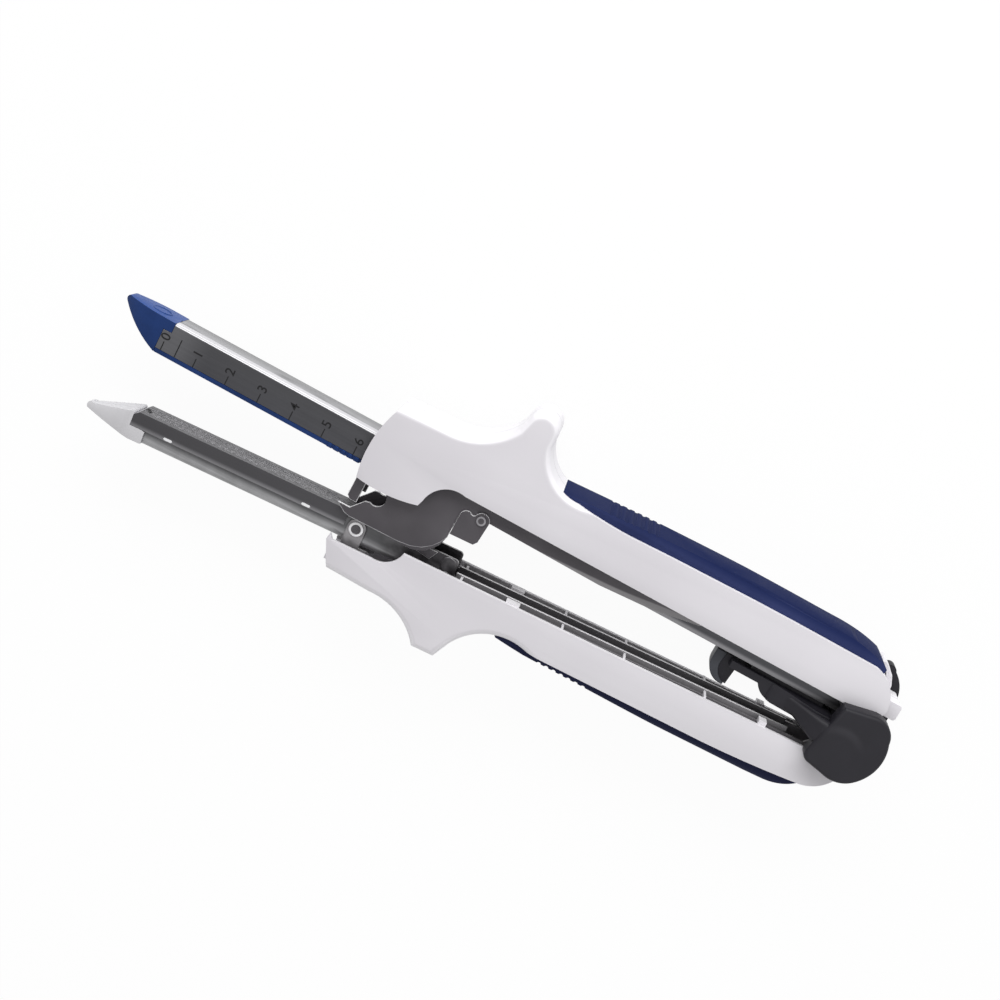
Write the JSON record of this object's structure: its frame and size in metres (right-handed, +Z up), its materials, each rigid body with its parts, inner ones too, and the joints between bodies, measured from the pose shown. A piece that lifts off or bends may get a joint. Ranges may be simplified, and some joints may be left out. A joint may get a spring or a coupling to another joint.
{
  "type": "linear cutter stapler",
  "caption": "Open-jaw linear cutter stapler: steel cartridge and anvil arms in hinged white casings, latching lever, sliding firing knob, and a slide-out reload with knife sled.",
  "frame": {"origin": "middle of the bounding box footprint, at its lowest point, with the stapler lying on its side", "axes": "+X from the jaw tips to the firing knob, +Y towards the back of the cartridge half, +Z up, across the stapler and along both hinge pins"},
  "size_m": [0.2429, 0.0757, 0.033],
  "materials": {
    "channel_steel": "satin",
    "anvil_steel": "satin",
    "dark_anvil": "satin",
    "plate_steel": "satin",
    "bright_steel": "polished",
    "dark_block": "matte",
    "white_casing": "satin",
    "navy_grip": "soft matte",
    "black_knob": "matte",
    "slate_face": "matte",
    "reload_blue": "satin",
    "driver_plastic": "matte"
  },
  "bodies": {
    "cartridge_half": {"cartridge_channel": "channel_steel", "guide_leg_left": "channel_steel", "guide_leg_right": "channel_steel", "latch_pivot_studs": "bright_steel", "rear_hinge_block": "dark_block", "hinge_block_rivets": "bright_steel", "reload_detent_spring": "channel_steel"},
    "latch_lever": {"upper_casing": "white_casing", "upper_grip": "navy_grip", "latch_plate_left": "plate_steel", "latch_plate_right": "plate_steel", "stop_plate_left": "plate_steel", "stop_plate_right": "plate_steel", "stop_plate_rivets": "bright_steel", "lever_cross_pins": "bright_steel"},
    "anvil_half": {"anvil_channel": "anvil_steel", "anvil_plate": "dark_anvil", "anvil_tip": "white_casing", "latch_cross_pin": "bright_steel", "pin_bracket_left": "anvil_steel", "pin_bracket_right": "anvil_steel", "lower_casing": "white_casing", "lower_grip": "navy_grip", "rail_outer": "anvil_steel", "rail_inner": "anvil_steel", "rail_front_block": "dark_block", "rail_rivets": "bright_steel", "rear_hinge_pin": "bright_steel"},
    "firing_slide": {"firing_bridge": "black_knob", "hook_face": "slate_face", "knob_pad_left": "black_knob", "knob_pad_right": "black_knob", "push_bar_left": "bright_steel", "push_bar_right": "bright_steel", "push_bar_pins": "bright_steel"},
    "reload": {"cartridge_body": "reload_blue", "cartridge_pan": "channel_steel", "staple_drivers": "driver_plastic", "staples": "bright_steel"},
    "knife_sled": {"wedge_sled": "white_casing", "knife_blade": "bright_steel", "sled_push_rods": "bright_steel"}
  },
  "joints": [
    {"name": "lever_hinge", "type": "hinge", "parent": "cartridge_half", "child": "latch_lever", "pos_m": [-0.0345, 0.00557, 0.0165], "axis": [0, 0, 1], "range_deg": [0, 35]},
    {"name": "rear_hinge", "type": "hinge", "parent": "cartridge_half", "child": "anvil_half", "pos_m": [0.1075, -0.00343, 0.0165], "axis": [0, 0, 1], "range_deg": [-4.3, 25]},
    {"name": "firing_travel", "type": "slide", "parent": "cartridge_half", "child": "firing_slide", "axis": [-1, 0, 0], "range_m": [0, 0.06]},
    {"name": "reload_travel", "type": "slide", "parent": "cartridge_half", "child": "reload", "axis": [-1, 0, 0], "range_m": [0, 0.11]},
    {"name": "sled_travel", "type": "slide", "parent": "reload", "child": "knife_sled", "axis": [-1, 0, 0], "range_m": [0, 0.06]}
  ],
  "couplings": [
    {"joint": "sled_travel", "follows": "firing_travel", "ratio": 1}
  ]
}
